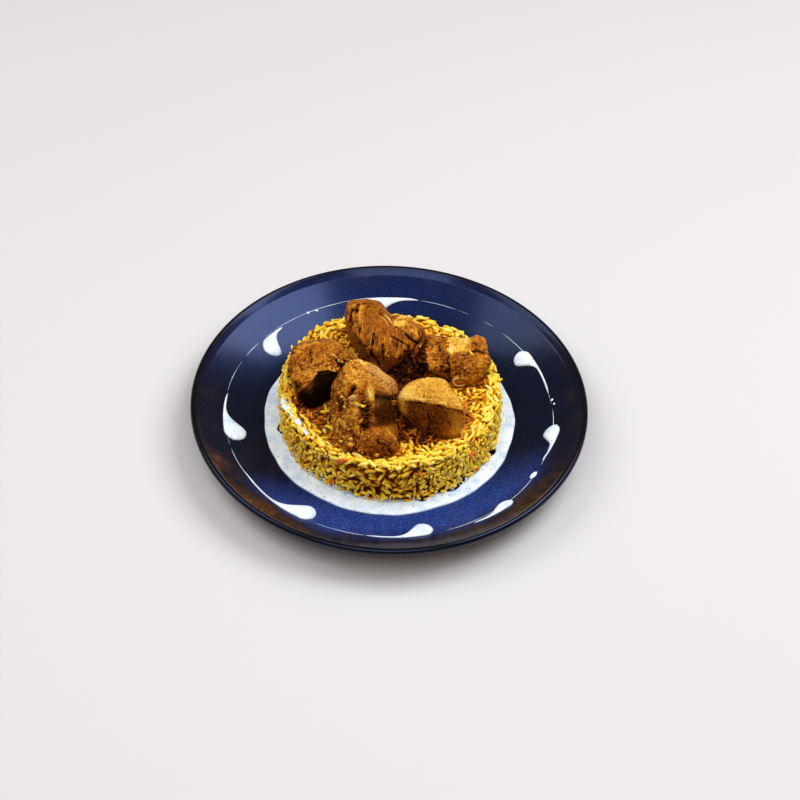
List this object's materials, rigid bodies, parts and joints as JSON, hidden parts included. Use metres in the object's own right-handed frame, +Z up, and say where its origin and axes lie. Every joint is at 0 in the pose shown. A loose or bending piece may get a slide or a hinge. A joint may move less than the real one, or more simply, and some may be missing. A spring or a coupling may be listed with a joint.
{
  "type": "plate of beef and yellow rice",
  "caption": "Round moulded cake of spiced yellow rice with chunks of braised beef on top, in a pool of herbed yoghurt sauce on a dark blue coupe plate with sauce drops.",
  "frame": {"origin": "on the table, under the centre of the plate", "axes": "+Z up; -Y towards the eater; +X to the eater's right"},
  "size_m": [0.28, 0.28, 0.0817],
  "materials": {
    "plate_glaze": "glossy dark blue reactive glaze, brown near a black rim",
    "rice": "moist cooked rice, golden yellow, with bits of carrot",
    "sauce": "glossy white yoghurt with fine herb flecks",
    "beef": "braised beef, brown and fibrous, slightly moist"
  },
  "bodies": {
    "root": {"plate": "plate_glaze", "rice": "rice", "sauce_pool": "sauce", "sauce_drop_1": "sauce", "sauce_drop_2": "sauce", "sauce_drop_3": "sauce", "sauce_drop_4": "sauce", "sauce_drop_5": "sauce", "sauce_drop_6": "sauce", "sauce_drop_7": "sauce", "sauce_drop_8": "sauce", "beef_back": "beef", "beef_left": "beef", "beef_front_left": "beef", "beef_front_right": "beef", "beef_back_right": "beef"}
  },
  "joints": []
}
